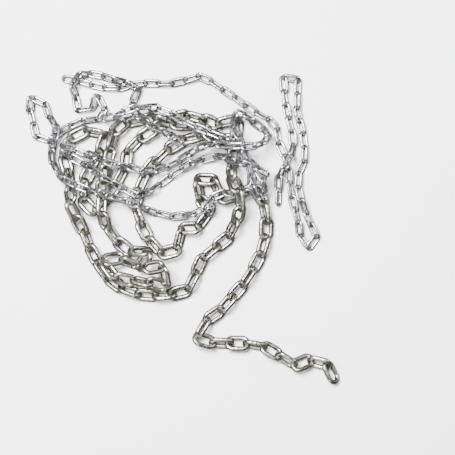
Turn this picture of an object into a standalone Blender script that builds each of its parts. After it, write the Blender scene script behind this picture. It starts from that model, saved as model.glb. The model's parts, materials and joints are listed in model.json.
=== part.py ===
"""Heap of anchor chain: one length of thick chain and three of thin chain, lying loose on a level floor.

Each chain is a row of closed oval links. A row of a few links whose crowns touch is one solid, and the
next row hangs in its last link with a small clearance.
"""

import math
from collections import namedtuple

import bmesh
import bpy
import numpy as np

MM = 0.001

# A chain's wire diameter, the inside length and outside width of a link, and the lean of its even links
# in degrees. The crown is the corners of the centre line round one end of a link, each as its distance
# from the end and from the middle, in half widths. The overlap is how deep two crowns of one row sit
# in each other, and the gap is what lies between those of one row and the next.
Chain = namedtuple("Chain", "wire pitch width lean crown overlap gap")
BLUNT_CROWN = ((0.5, 1.0), (0.0, 0.5), (0.0, -0.5), (0.5, -1.0))
POINTED_CROWN = ((0.45, 1.0), (0.0, 0.0), (0.45, -1.0))
THICK = Chain(wire=8.0, pitch=32.0, width=30.0, lean=32.0, crown=BLUNT_CROWN, overlap=2.2, gap=0.6)
THIN = Chain(wire=5.0, pitch=26.0, width=18.0, lean=36.0, crown=POINTED_CROWN, overlap=1.7, gap=0.7)

SECTION = 1.14  # diagonal of the square wire of a link against the diameter of the real round wire
MOST_SIDES = 5  # of a crown, with its two bars
BENT_OVERLAP = 1.2  # overlap added at a bend, as a share of it, times 1 - cos(half the bend)
WIRE_CLEARANCE = 1.1  # between links that only lie on or beside each other
STEEPEST = 0.72  # rise of a chain for each millimetre along it
ROW_LINKS = 7  # links in one solid, about
FEWEST = 4
CHOICES = 3
PER_LINK = 0.04  # sharper bend, in radians, that a row starts at for each link more in the row before
ROW_BEND = math.radians(75.0)  # a solid turns no further than this along its length
LEAN_DRIFT = 7.0  # how far the lean of the links wanders, in degrees
END_LEAN = 45.0  # lean of the thick chain's loose end link, which rests on a flat of its wire

# Routes of the chains over the floor, in millimetres: x, y and the layer that the chain lies in there.
# Where two chains cross, the one with the higher layer passes over the other.
THICK_ROUTE = [
    (286, -286, 0), (276, -262, 0), (254, -247, 0), (230, -253, 0), (207, -257, 0), (187, -244, 0),
    (165, -229, 0), (140, -219, 0), (110, -217, 0), (80, -217, 0), (52, -216, 0), (30, -207, 0),
    (27, -188, 0), (44, -176, 0), (66, -160, 0), (84, -140, 0), (101, -121, 0), (117, -102, 0),
    (132, -78, 0), (147, -50, 0), (156, -20, 0), (158, 8, 0), (155, 34, 0),
    (149, 57, 0), (138, 74, 0), (118, 74, 0), (98, 62, 0), (80, 60, 0), (66, 62, 0),
    (64, 84, 1), (48, 93, 1), (28, 88, 1), (24, 70, 1), (36, 54, 1), (47, 36, 1),
    (48, 12, 0), (30, 4, 0), (10, 14, 0), (0, 0, 0), (-4, -14, 0), (-9, -31, 0),
    (-18, -47, 0), (-35, -48, 0), (-53, -35, 0), (-69, -14, 0), (-78, 3, 0), (-82, 20, 0),
    (-91, 38, 0), (-90, 58, 0), (-82, 76, 0), (-75, 92, 0), (-68, 112, 0), (-50, 129, 0),
    (-33, 146, 0), (-14, 158, 0), (8, 170, 0), (34, 174, 0), (62, 172, 0), (90, 170, 0),
    (112, 180, 1), (104, 200, 1), (82, 202, 1), (60, 193, 1), (38, 206, 0), (10, 214, 0),
    (-15, 209, 0), (-42, 196, 0), (-62, 180, 0), (-88, 164, 0), (-103, 146, 0), (-107, 120, 0),
    (-116, 98, 0), (-130, 76, 0), (-146, 54, 0), (-164, 34, 0), (-180, 28, 0), (-187, 48, 0),
    (-187, 80, 0), (-178, 104, 0), (-165, 128, 0), (-153, 152, 0), (-150, 177, 0), (-168, 186, 0),
    (-190, 178, 0), (-210, 168, 0), (-222, 150, 0), (-222, 128, 0), (-216, 106, 0), (-212, 82, 0),
    (-210, 56, 0), (-203, 29, 0), (-189, -3, 0), (-177, -33, 0), (-163, -63, 0), (-146, -88, 0),
    (-121, -110, 0), (-91, -123, 0), (-61, -127, 0), (-31, -126, 0), (-2, -121, 0), (18, -108, 0),
    (26, -78, 0), (40, -52, 0), (63, -35, 0), (86, -16, 0), (98, 5, 0), (108, 29, 1),
    (106, 55, 2), (104, 74, 2), (92, 94, 2), (86, 112, 2), (98, 130, 2), (98, 150, 3),
    (72, 160, 3), (42, 184, 2), (10, 194, 2), (-20, 193, 2), (-50, 204, 2), (-80, 211, 1),
    (-106, 202, 1), (-127, 188, 1), (-136, 166, 1), (-134, 146, 1), (-143, 122, 1), (-151, 98, 1),
    (-156, 74, 2), (-142, 52, 3), (-128, 44, 3), (-146, 28, 3), (-158, 14, 2), (-144, -2, 0),
    (-130, -17, 0), (-114, -36, 0), (-94, -46, 0), (-72, -42, 0), (-62, -58, 0), (-76, -72, 0),
    (-98, -64, 1), (-122, -56, 1), (-142, -56, 0), (-140, -78, 0), (-122, -92, 0), (-98, -97, 0),
    (-72, -101, 0), (-44, -104, 0), (-18, -102, 0), (-14, -82, 0), (-36, -76, 1), (-62, -75, 1),
    (-84, -78, 1),
]
THIN_EAST_ROUTE = [
    (-226, 283, 0), (-196, 279, 0), (-165, 269, 0), (-133, 262, 0), (-112, 267, 0), (-93, 275, 1),
    (-67, 275, 0), (-40, 273, 0), (-10, 274, 0), (15, 283, 0), (37, 292, 0), (57, 274, 0),
    (82, 258, 0), (104, 243, 0), (125, 228, 0), (146, 212, 1), (168, 207, 1), (182, 196, 1),
    (176, 180, 1), (180, 162, 1), (190, 142, 1), (200, 120, 1), (201, 100, 0), (200, 82, 0),
    (206, 58, 0), (213, 29, 0), (221, 1, 0), (222, -22, 0), (237, -37, 0), (253, -24, 0),
    (248, -2, 0), (238, 12, 0), (229, 37, 0), (220, 62, 0), (216, 86, 0), (218, 108, 0),
    (231, 126, 0), (231, 150, 0), (226, 182, 0), (219, 208, 0), (213, 236, 0), (217, 264, 0),
    (214, 286, 0), (191, 286, 0), (191, 262, 0), (193, 238, 0), (199, 208, 0), (207, 180, 0),
    (210, 150, 2), (194, 120, 2), (182, 104, 0), (179, 84, 0), (181, 60, 0), (179, 34, 0),
    (178, 24, 0),
]
THIN_WEST_ROUTE = [
    (-3, 157, 4), (-18, 170, 4), (-36, 183, 4), (-58, 192, 4), (-80, 202, 4), (-94, 218, 4),
    (-93, 238, 1), (-107, 248, 1), (-100, 259, 1), (-82, 262, 1), (-98, 271, 2), (-120, 276, 2),
    (-146, 288, 1), (-184, 292, 1), (-216, 286, 1), (-208, 264, 0), (-199, 238, 0), (-194, 216, 1),
    (-170, 228, 1), (-158, 254, 1), (-149, 222, 3), (-166, 203, 3), (-185, 205, 3), (-205, 198, 3),
    (-225, 186, 3), (-245, 172, 1), (-258, 158, 0), (-272, 158, 0), (-279, 178, 0), (-284, 205, 0),
    (-292, 232, 0), (-280, 251, 0), (-264, 240, 0), (-257, 220, 1), (-252, 208, 1), (-236, 192, 4),
    (-239, 170, 3), (-248, 150, 0),
    (-251, 128, 0), (-243, 108, 2), (-232, 96, 4), (-218, 88, 4), (-196, 78, 4), (-168, 69, 4),
    (-144, 62, 5), (-116, 54, 5), (-93, 47, 4), (-72, 38, 2), (-46, 27, 0), (-22, 19, 0),
    (-6, 27, 0), (14, 26, 2), (34, 22, 3), (48, 40, 3), (58, 64, 3), (80, 68, 1),
    (104, 59, 0), (124, 66, 1), (134, 88, 1), (128, 112, 3),
]
THIN_MIDDLE_ROUTE = [
    (-150, 206, 5), (-130, 209, 5), (-106, 217, 4), (-80, 228, 3), (-53, 227, 1), (-30, 222, 1),
    (-14, 208, 4), (8, 194, 4), (35, 184, 4), (62, 174, 4), (87, 164, 4), (110, 148, 4),
    (128, 129, 4), (138, 106, 4), (152, 88, 2), (160, 66, 1), (144, 53, 2), (130, 70, 3),
    (128, 102, 5), (118, 136, 5), (108, 164, 5), (97, 188, 3), (88, 208, 3), (106, 215, 3),
    (130, 206, 2), (152, 192, 1), (166, 176, 1), (158, 158, 2), (138, 152, 5), (114, 150, 5),
    (88, 152, 5), (62, 158, 4), (32, 153, 1), (-2, 130, 0), (-26, 117, 0), (-48, 106, 1),
    (-72, 102, 2), (-87, 113, 4), (-106, 114, 4), (-130, 122, 4), (-154, 127, 4), (-177, 138, 4),
    (-200, 149, 3), (-217, 156, 3), (-231, 148, 3), (-218, 140, 4), (-197, 128, 4), (-177, 116, 4),
    (-162, 103, 4), (-146, 93, 4), (-124, 82, 4), (-97, 66, 3), (-80, 54, 2), (-66, 60, 1),
    (-58, 75, 0), (-42, 86, 0), (-20, 101, 0), (5, 115, 0), (27, 128, 0), (50, 141, 0),
    (76, 138, 4), (100, 122, 4), (124, 112, 5), (146, 112, 5), (162, 98, 3),
]
LENGTHS = [
    ("thick", THICK, THICK_ROUTE),
    ("thin_east", THIN, THIN_EAST_ROUTE),
    ("thin_west", THIN, THIN_WEST_ROUTE),
    ("thin_middle", THIN, THIN_MIDDLE_ROUTE),
]

WIRE_SAMPLES = 36  # points round a link's centre line that clearances are worked out from
LAYING_ROUNDS = 3
SETTLING_ROUNDS = 14
SINKING_ROUNDS = 8  # of them, in which the chains still sink
SETTLING_STEPS = 20
RESTING_ROUNDS = 3
LAST_STEPS = 40
SINKING = 0.4  # how far the chains sink in one step, at first
HOLDING = 0.03  # how much of its way back to its route a joint goes in one step
LIFTING_STEPS = 60
NEAR = 3.0  # beyond their clearance, how near two wires are watched
CROSSING_STEP = 4  # points of a curve from one to the next where crossings are looked for
CROSSING_SEARCH = 9  # steps within which a pair of links belongs to a crossing
SAME_LAYER = 0.3  # layers closer than this don't decide which chain passes over
DRIFT_STEP = 1.7  # radians of the lean's slow wandering for each link
SHORTEST = 0.01  # edge of a solid
SQUAREST = 0.01  # least cosine between a side of a crown and a direction that can meet it


def half_section(chain):
    """Half the diagonal of the square wire."""
    return SECTION * chain.wire / 2


def half_length(chain):
    """From a link's middle to the centre line of its crown."""
    return (chain.pitch + chain.wire) / 2


def half_width(chain):
    """From a link's middle to the centre line of its side bar."""
    return (chain.width - chain.wire) / 2


def smooth(route):
    """Points each millimetre or so along a smooth curve through a route: x, y and layer."""
    points = np.array(route, float)
    points = np.vstack([2 * points[0] - points[1], points, 2 * points[-1] - points[-2]])
    curve = []
    for before, start, end, after in zip(points, points[1:], points[2:], points[3:]):
        steps = max(int(np.hypot(*(end - start)[:2])), 4)
        for t in np.arange(steps) / steps:
            bend = 2 * start + (end - before) * t
            bend += (2 * before - 5 * start + 4 * end - after) * t**2
            bend += (3 * start - before - 3 * end + after) * t**3
            curve.append([*(bend / 2)[:2], start[2] + (end[2] - start[2]) * t])
    curve.append(points[-2])
    return np.array(curve)


def corners(chain):
    """Corners of a link's centre line, with the direction in which each moves when the line is offset."""
    crown = [
        (half_length(chain) - back * half_width(chain), side * half_width(chain))
        for back, side in chain.crown
    ]
    line = np.array([(x, y) for x, y in crown] + [(-x, -y) for x, y in crown])
    before, after = line - np.roll(line, 1, axis=0), np.roll(line, -1, axis=0) - line
    out_before = np.column_stack([-before[:, 1], before[:, 0]]) / np.linalg.norm(before, axis=1)[:, None]
    out_after = np.column_stack([-after[:, 1], after[:, 0]]) / np.linalg.norm(after, axis=1)[:, None]
    sideways = out_before + out_after
    mitre = 2 * sideways / (sideways**2).sum(axis=1)[:, None]
    return line, mitre


def ridge(chain):
    """From the centre line of a crown to the ridge on its inner side."""
    line, mitre = corners(chain)
    foremost = np.argmax(line[:, 0])
    return half_section(chain) * abs(mitre[foremost, 0])


def crown_sides(chain):
    """The sides of a crown and of the bars behind it: which way each faces, and how far out it lies."""
    line = [(chain.width, 1.0)] + [(back, side) for back, side in chain.crown] + [(chain.width, -1.0)]
    points = np.array([(1.0 - back, side) for back, side in line]) * half_width(chain)
    steps = np.diff(points, axis=0)
    turns = np.arctan2(steps[:, 0], -steps[:, 1])
    outward = np.column_stack([np.cos(turns), np.sin(turns)])
    distances = (points[:-1] * outward).sum(axis=1)
    return np.resize(turns, MOST_SIDES), np.resize(distances, MOST_SIDES)


def walk(curve, heights, chain):
    """Lays links end to end along a curve. Gives each link's two ends and their places on the curve."""
    path = np.column_stack([curve[:, :2], heights])
    apart = 2 * ridge(chain) - chain.overlap
    here, at, links = path[0], 0.0, []
    reached = stride(path, here, at, chain.pitch)
    while reached is not None:
        end = point_at(path, reached)
        links.append((here, end, at, reached))
        before, at, here = end - here, reached, end
        reached = stride(path, here, at, chain.pitch)
        if reached is not None:
            after = point_at(path, reached) - here
            both = before / np.linalg.norm(before) + after / np.linalg.norm(after)
            here = here - both / np.linalg.norm(both) * (apart - chain.wire * np.linalg.norm(both) / 2)
            reached = stride(path, here, at, chain.pitch)
    return links


def stride(path, here, at, length):
    """The place on a path, beyond a given place, that lies a given length from a point."""
    first = int(at) + 1
    away = np.linalg.norm(path[first:] - here, axis=1)
    beyond = np.nonzero(away >= length)[0]
    if not len(beyond):
        return None
    n = beyond[0]
    inner = away[n - 1] if n else 0.0
    return first + n - 1 + (length - inner) / max(away[n] - inner, 1e-6)


def point_at(path, place):
    n = min(int(place), len(path) - 2)
    return path[n] + (path[n + 1] - path[n]) * (place - n)


def divide(joints, loose_end):
    """Numbers of the links that start a row, each at the straightest joint within reach."""
    links = joints[1:] - joints[:-1]
    heading = np.arctan2(links[:, 1], links[:, 0])
    bends = np.append(0.0, (np.diff(heading) + math.pi) % (2 * math.pi) - math.pi)
    starts = [0, 1] if loose_end else [0]
    while len(links) - starts[-1] > ROW_LINKS + 2:
        first = starts[-1]
        turned, reach = 0.0, []
        for n in range(first + 1, min(first + ROW_LINKS + 3, len(links) - 2)):
            if n - first >= FEWEST and (abs(turned) <= ROW_BEND or len(reach) < CHOICES):
                reach.append(n)
            turned += bends[n]
        starts.append(min(reach, key=lambda n: abs(bends[n]) - PER_LINK * (n - first)))
    return starts


def wire_line(chain, count):
    """Points round the centre line of a link, along its length and across it."""
    straight, turn = half_length(chain) - half_width(chain), half_width(chain)
    around = 4 * straight + 2 * math.pi * turn
    points = []
    for n in range(count):
        s = around * n / count
        side, s = divmod(s, around / 2)
        sign = -1.0 if side else 1.0
        if s < 2 * straight:
            x, y = straight - s, turn
        else:
            angle = (s - 2 * straight) / turn
            x, y = -straight - turn * math.sin(angle), turn * math.cos(angle)
        points.append((sign * x, sign * y))
    return np.array(points)


def across_of(along, lean):
    """The directions across the openings of links, from their directions and leans."""
    level = np.cross((0.0, 0.0, 1.0), along)
    level /= np.linalg.norm(level, axis=1)[:, None]
    return np.cos(lean)[:, None] * level + np.sin(lean)[:, None] * np.cross(along, level)


def frame_of(start, end, lean):
    """A link's middle and its directions along, across its opening, and out of its plane."""
    along = (end - start) / np.linalg.norm(end - start)
    across = across_of(along[None], np.array([lean]))[0]
    return (start + end) / 2, along, across, np.cross(along, across)


def lean_of(chain, number):
    """The lean of a link about its own length, turned a quarter from one link to the next."""
    if chain is THICK and number < 2:
        return math.radians(END_LEAN + 90.0 * number)
    drift = LEAN_DRIFT * math.sin(DRIFT_STEP * number + chain.wire)
    return math.radians(chain.lean + 90.0 * (number % 2) + drift)


def lay_out():
    """Lays every link at rest: a list of (length's name, chain, rows), a row being its links' frames."""
    curves = [smooth(route) for _, _, route in LENGTHS]
    over = crossings(curves)
    heights = [np.full(len(curve), chain.width / 2) for curve, (_, chain, _) in zip(curves, LENGTHS)]
    for _ in range(LAYING_ROUNDS):
        laid = [
            walk(curve, height, chain) for curve, height, (_, chain, _) in zip(curves, heights, LENGTHS)
        ]
        heap = Heap(laid, over)
        heap.lift()
        for n, (links, joints) in enumerate(zip(laid, np.split(heap.joints[:, 2], heap.splits))):
            places = [links[0][2]] + [link[3] for link in links]
            heights[n] = np.interp(np.arange(len(curves[n])), places, joints)
    heap.settle()
    starts = heap.loosen()
    heap.rest()
    return heap.rows(starts)


class Heap:
    """The joints between the links of all the lengths, and what they rest on."""

    def __init__(self, laid, over):
        self.over = over
        self.chains, self.owner, leans, joints, base = [], [], [], [], []
        for number, (links, (_, chain, _)) in enumerate(zip(laid, LENGTHS)):
            for n, (start, end, at, reached) in enumerate(links):
                base.append(len(joints) + n)
                self.chains.append(chain)
                self.owner.append((number, n, round((at + reached) / 2 / CROSSING_STEP)))
                leans.append(lean_of(chain, n))
            joints += [links[0][0]] + [link[1] for link in links]
        self.joints, self.base, self.leans = np.array(joints), np.array(base), np.array(leans)
        self.apart = np.array([2 * ridge(chain) - chain.overlap for chain in self.chains])
        self.deeper = BENT_OVERLAP * np.array([chain.overlap for chain in self.chains])
        self.routed = self.joints[:, :2].copy()
        self.pitch = np.array([chain.pitch for chain in self.chains])
        self.reach = np.array([half_section(chain) for chain in self.chains])
        sides = [crown_sides(chain) for chain in self.chains]
        self.crown_turns, self.crown_sides = np.array(sides).transpose(1, 0, 2)
        self.hollow = np.array([half_width(chain) - chain.wire / 2 for chain in self.chains])
        self.lines = np.array([wire_line(chain, WIRE_SAMPLES) for chain in self.chains])
        self.share = np.clip(self.lines[:, :, 0] / self.pitch[:, None] + 0.5, 0.0, 1.0)
        self.splits = np.cumsum([len(links) + 1 for links in laid])[:-1]
        self.even = np.array([number % 2 == 0 for _, number, _ in self.owner])
        self.inner_link = np.array([n for n, (_, number, _) in enumerate(self.owner) if number])

    def ends(self):
        """Where each link starts and ends, its crowns hooked into those of its neighbours.

        The wires touch along the direction midway between two links. Each link is touched at the point
        of its crown that this direction, seen in the link's own plane, leads to.
        """
        along = self.joints[self.base + 1] - self.joints[self.base]
        along /= np.linalg.norm(along, axis=1)[:, None]
        across = across_of(along, self.leans)
        out = np.cross(along, across)
        after = self.inner_link
        before = after - 1
        both = along[before] + along[after]
        size = np.linalg.norm(both, axis=1)
        middle = both / size[:, None]
        apart = self.apart[after] - self.deeper[after] * (1 - size / 2)
        past = middle * apart[:, None] + both * self.hollow[after][:, None]
        for link in (before, after):
            flat = middle - out[link] * (middle * out[link]).sum(axis=1)[:, None]
            flat /= np.linalg.norm(flat, axis=1)[:, None]
            turn = np.arctan2((flat * across[link]).sum(axis=1), (flat * along[link]).sum(axis=1))
            facing = np.maximum(np.cos(turn[:, None] - self.crown_turns[link]), SQUAREST)
            past -= flat * (self.crown_sides[link] / facing).min(axis=1)[:, None]
        start, end = self.joints[self.base], self.joints[self.base + 1]
        end[before] += past / 2
        start[after] -= past / 2
        return start, end

    def frames(self):
        return [frame_of(start, end, lean) for start, end, lean in zip(*self.ends(), self.leans)]

    def look(self):
        """Finds the pairs of wire points that are near each other."""
        turned = np.array([
            middle + np.outer(line[:, 0], along) + np.outer(line[:, 1], across)
            for line, (middle, along, across, _) in zip(self.lines, self.frames())
        ])
        share = self.share[:, :, None]
        self.offset = turned - self.joints[self.base][:, None] * (1 - share)
        self.offset -= self.joints[self.base + 1][:, None] * share
        above, above_at, below, below_at = contacts(self.owner, turned[:, :, :2], self.reach, self.over)
        self.above, self.below = (above, above_at), (below, below_at)
        self.need = self.reach[above] + self.reach[below] + WIRE_CLEARANCE

    def wires(self, at):
        base, share = self.base[at[0]], self.share[at][:, None]
        return self.joints[base] * (1 - share) + self.joints[base + 1] * share + self.offset[at]

    def raise_joints(self):
        """Raises every link that is too near the floor or what it lies on, and bridges steep steps."""
        height, raised = self.joints[:, 2], np.zeros(len(self.joints))
        every = np.nonzero(np.ones_like(self.share))
        for at, short in (
            (every, self.reach[every[0]] - self.wires(every)[:, 2]),
            (self.above, self.shortfall()),
        ):
            share = self.share[at]
            short = np.maximum(short, 0.0) / (share**2 + (1 - share) ** 2)
            np.maximum.at(raised, self.base[at[0]], short * (1 - share))
            np.maximum.at(raised, self.base[at[0]] + 1, short * share)
        height += raised
        for part, chain in zip(np.split(height, self.splits), (chain for _, chain, _ in LENGTHS)):
            step = chain.pitch * STEEPEST
            for n in range(1, len(part)):
                part[n] = max(part[n], part[n - 1] - step)
            for n in range(len(part) - 2, -1, -1):
                part[n] = max(part[n], part[n + 1] - step)

    def shortfall(self):
        """How much higher each upper wire point would have to be to clear the lower one."""
        apart = self.wires(self.above) - self.wires(self.below)
        rise = np.sqrt(np.maximum(self.need**2 - (apart[:, :2] ** 2).sum(axis=1), 0.0))
        return np.where(rise > 0, rise - apart[:, 2], 0.0)

    def keep_lengths(self):
        """Moves the joints so that every link has its length again."""
        for chosen in (self.even, ~self.even):
            start, end = self.ends()
            along = (end - start)[chosen]
            length = np.linalg.norm(along, axis=1)
            move = along * ((1 - self.pitch[chosen] / length) / 2)[:, None]
            self.joints[self.base[chosen]] += move
            self.joints[self.base[chosen] + 1] -= move

    def lift(self):
        self.joints[:, 2] = 0.0
        self.look()
        for _ in range(LIFTING_STEPS):
            self.raise_joints()

    def settle(self):
        """Lets the chains sink onto each other, each link keeping its length."""
        for turn in range(SETTLING_ROUNDS):
            left = max(1 - turn / SINKING_ROUNDS, 0.0)
            for _ in range(SETTLING_STEPS):
                self.joints[:, 2] -= SINKING * left
                self.joints[:, :2] += (self.routed - self.joints[:, :2]) * HOLDING * left
                self.keep_lengths()
                self.raise_joints()
            self.look()

    def loosen(self):
        """Divides each length into rows, and gives the first link of each row its clearance."""
        starts = [divide(part, n == 0) for n, part in enumerate(np.split(self.joints, self.splits))]
        for n, (number, link, _) in enumerate(self.owner):
            if link in starts[number]:
                self.apart[n] = 2 * ridge(self.chains[n]) + self.chains[n].gap
                self.deeper[n] = 0.0
        return starts

    def rest(self):
        for _ in range(RESTING_ROUNDS):
            for _ in range(SETTLING_STEPS):
                self.raise_joints()
                self.keep_lengths()
                self.keep_lengths()
            self.look()
        for _ in range(LAST_STEPS):
            self.raise_joints()
            self.keep_lengths()

    def rows(self, starts):
        frames, result, first = self.frames(), [], 0
        for number, (name, chain, _) in enumerate(LENGTHS):
            count = sum(owner[0] == number for owner in self.owner)
            ends = [n for n in starts[number][1:] if n < count - 1] + [count]
            rows = [frames[first + a:first + b] for a, b in zip([0] + ends, ends)]
            result.append((name, chain, rows))
            first += count
        return result


def contacts(owner, points, reach, over):
    """Every pair of wire points near enough, seen from above, for one link to have to clear the other."""
    middles = points.mean(axis=1)
    sizes = np.linalg.norm(points - middles[:, None], axis=2).max(axis=1)
    found = []
    for a, (length_a, number_a, place_a) in enumerate(owner):
        near = np.linalg.norm(middles[a + 1:] - middles[a], axis=1)
        close = near < sizes[a + 1:] + sizes[a] + reach[a + 1:] + reach[a] + WIRE_CLEARANCE + NEAR
        for b in a + 1 + np.nonzero(close)[0]:
            length_b, number_b, place_b = owner[b]
            if length_a == length_b and number_b - number_a < 2:
                continue
            apart = np.linalg.norm(points[a][:, None] - points[b][None], axis=2)
            at_a, at_b = np.nonzero(apart < reach[a] + reach[b] + WIRE_CLEARANCE + NEAR)
            if passes_over(over, (length_a, place_a), (length_b, place_b)):
                found.append((b, at_b, a, at_a))
            else:
                found.append((a, at_a, b, at_b))
    return [np.concatenate([np.broadcast_to(f[n], len(f[1])) for f in found]) for n in range(4)]


def crossings(curves):
    """Each place where two stretches of chain are near each other, and whether the later one is above."""
    samples = [
        (length, n // CROSSING_STEP, *curve[n])
        for length, curve in enumerate(curves) for n in range(0, len(curve), CROSSING_STEP)
    ]
    table = np.array(samples)
    widths = np.array([LENGTHS[int(length)][1].width for length in table[:, 0]])
    pitches = np.array([LENGTHS[int(length)][1].pitch for length in table[:, 0]])
    met = {}
    for a in range(len(table)):
        rest = table[a + 1:]
        near = np.linalg.norm(rest[:, 2:4] - table[a, 2:4], axis=1) < (widths[a + 1:] + widths[a]) / 2
        own = rest[:, 0] == table[a, 0]
        near &= ~(own & (rest[:, 1] - table[a, 1] < 2 * pitches[a] / CROSSING_STEP))
        for b in a + 1 + np.nonzero(near)[0]:
            met[samples[a][:2], samples[b][:2]] = samples[b][4] - samples[a][4]
    over, left = {}, set(met)
    while left:
        edge, group = [left.pop()], []
        while edge:
            (length_a, a), (length_b, b) = edge.pop()
            group.append(((length_a, a), (length_b, b)))
            for pair in beside(length_a, a, length_b, b, 1):
                if pair in left:
                    left.remove(pair)
                    edge.append(pair)
        layer = sum(met[pair] for pair in group) / len(group)
        for pair in group:
            over[pair] = layer > -SAME_LAYER
    return over


def beside(length_a, a, length_b, b, reach):
    steps = range(-reach, reach + 1)
    return [((length_a, a + da), (length_b, b + db)) for da in steps for db in steps]


def passes_over(over, first, second):
    """Whether the second of two places passes over the first, by the crossing nearest to both."""
    for reach in range(CROSSING_SEARCH):
        for pair in beside(*first, *second, reach):
            if pair in over:
                return over[pair]
    return True


# Solids
def link_mesh(chain):
    """Corners and faces of one link lying along X, its wire a square set on edge."""
    line, mitre = corners(chain)
    half = half_section(chain)
    rings = [line + mitre * half, line, line - mitre * half, line]
    rise = (0.0, half, 0.0, -half)
    points = np.array([(x, y, z) for ring, z in zip(rings, rise) for x, y in ring])
    count, faces = len(line), []
    for ring in range(4):
        for n in range(count):
            m = (n + 1) % count
            a, b = ring * count, (ring + 1) % 4 * count
            faces.append((b + n, b + m, a + m, a + n))
    return points, faces


def row_object(name, chain, frames, material):
    """One mesh with a link in each frame of a row."""
    points, faces = link_mesh(chain)
    all_points, all_faces = [], []
    for middle, along, across, out in frames:
        placed = middle + points @ np.array([along, across, out])
        all_faces += [[n + len(all_points) * len(points) for n in face] for face in faces]
        all_points.append(placed)
    mesh = bpy.data.meshes.new(name)
    mesh.from_pydata((np.vstack(all_points) * MM).tolist(), [], all_faces)
    mesh.materials.append(material)
    item = bpy.data.objects.new(name, mesh)
    bpy.context.scene.collection.objects.link(item)
    return item


def build_row(name, chain, frames, material):
    """A row as one solid: every other link, joined at the crowns with the links between them."""
    row = row_object(name, chain, frames[::2], material)
    if len(frames) == 1:
        return
    between = row_object(name + "_between", chain, frames[1::2], material)
    join = row.modifiers.new("crowns", "BOOLEAN")
    join.operation = "UNION"
    join.solver = "EXACT"
    join.object = between
    joined = row.evaluated_get(bpy.context.evaluated_depsgraph_get()).to_mesh()
    solid = bmesh.new()
    solid.from_mesh(joined)
    fill_cavities(solid)
    bmesh.ops.dissolve_degenerate(solid, dist=SHORTEST * MM, edges=solid.edges)
    row.modifiers.remove(join)
    solid.to_mesh(row.data)
    solid.free()
    bpy.data.objects.remove(between, do_unlink=True)


def fill_cavities(solid):
    """Removes the inward shells that are left where two crowns touch on both sides of a small gap."""
    left = set(solid.faces)
    while left:
        edge, shell = [left.pop()], []
        while edge:
            face = edge.pop()
            shell.append(face)
            beyond = {other for side in face.edges for other in side.link_faces} & left
            left -= beyond
            edge += beyond
        if sum(face.calc_center_median().dot(face.normal) * face.calc_area() for face in shell) < 0:
            bmesh.ops.delete(solid, geom=shell, context="FACES")


def steel(name, colour, roughness):
    material = bpy.data.materials.new(name)
    material.use_nodes = True
    shader = material.node_tree.nodes["Principled BSDF"]
    shader.inputs["Base Color"].default_value = (*colour, 1.0)
    shader.inputs["Metallic"].default_value = 1.0
    shader.inputs["Roughness"].default_value = roughness
    return material


def corners_of(chain, frame):
    middle, *axes = frame
    return middle + link_mesh(chain)[0] @ np.array(axes)


def on_floor(laid):
    """Moves the frames so that the heap lies on the floor with the middle of its outline over the origin."""
    _, chain, rows = laid[0]
    middle, along, *_ = rows[0][0]
    level = np.array([*along[:2], 0.0])
    rows[0][0] = frame_of(middle - level, middle + level, math.radians(END_LEAN))
    points = np.vstack([
        corners_of(chain, frame) for _, chain, rows in laid for row in rows for frame in row
    ])
    shift = (points.min(axis=0) + points.max(axis=0)) / 2
    shift[2] = points[:, 2].min()
    laid = [
        (name, chain, [[(middle - shift, *axes) for middle, *axes in row] for row in rows])
        for name, chain, rows in laid
    ]
    _, chain, rows = laid[0]
    middle, *axes = rows[0][0]
    rows[0][0] = (middle - [0.0, 0.0, corners_of(chain, rows[0][0])[:, 2].min()], *axes)
    return laid


def build():
    for item in list(bpy.data.objects):
        bpy.data.objects.remove(item, do_unlink=True)
    thick_steel = steel("thick_chain_steel", (0.50, 0.50, 0.47), 0.32)
    thin_steel = steel("thin_chain_steel", (0.60, 0.60, 0.60), 0.30)
    for name, chain, rows in on_floor(lay_out()):
        material = thick_steel if chain is THICK else thin_steel
        if chain is THICK:
            build_row("end_link", chain, rows.pop(0), material)
        for number, frames in enumerate(rows, 1):
            build_row(f"{name}_row_{number:02d}", chain, frames, material)


build()
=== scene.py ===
"""Heap of anchor chain on a studio floor: round steel links in the places of the frame's solid rows."""

import json
import math
from collections import namedtuple

import bpy
import mathutils
import numpy as np
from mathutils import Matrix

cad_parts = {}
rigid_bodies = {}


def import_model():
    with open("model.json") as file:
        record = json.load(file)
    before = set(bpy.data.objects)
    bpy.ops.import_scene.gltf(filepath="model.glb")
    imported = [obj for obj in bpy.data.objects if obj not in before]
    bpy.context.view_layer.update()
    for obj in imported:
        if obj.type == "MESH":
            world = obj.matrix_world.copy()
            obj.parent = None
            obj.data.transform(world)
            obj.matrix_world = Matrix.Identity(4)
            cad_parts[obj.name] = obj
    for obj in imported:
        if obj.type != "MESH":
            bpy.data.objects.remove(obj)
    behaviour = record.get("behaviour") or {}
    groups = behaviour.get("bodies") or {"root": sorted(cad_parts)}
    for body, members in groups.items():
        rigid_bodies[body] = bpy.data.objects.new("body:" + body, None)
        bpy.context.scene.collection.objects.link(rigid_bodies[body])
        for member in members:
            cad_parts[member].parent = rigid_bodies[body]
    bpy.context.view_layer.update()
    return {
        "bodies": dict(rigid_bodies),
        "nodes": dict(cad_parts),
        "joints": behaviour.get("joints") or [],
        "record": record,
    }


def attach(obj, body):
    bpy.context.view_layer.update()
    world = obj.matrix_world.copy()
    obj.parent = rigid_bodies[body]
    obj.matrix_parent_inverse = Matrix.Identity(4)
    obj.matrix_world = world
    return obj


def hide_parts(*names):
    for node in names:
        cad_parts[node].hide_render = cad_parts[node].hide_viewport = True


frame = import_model()

# The lay of the heap
# Four lengths of loose chain were poured out on a level floor: a long thick one that folds back over
# itself, and three thin ones through and over it. Each link hangs in its neighbours and keeps its length.

MM = 0.001  # in metres

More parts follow.
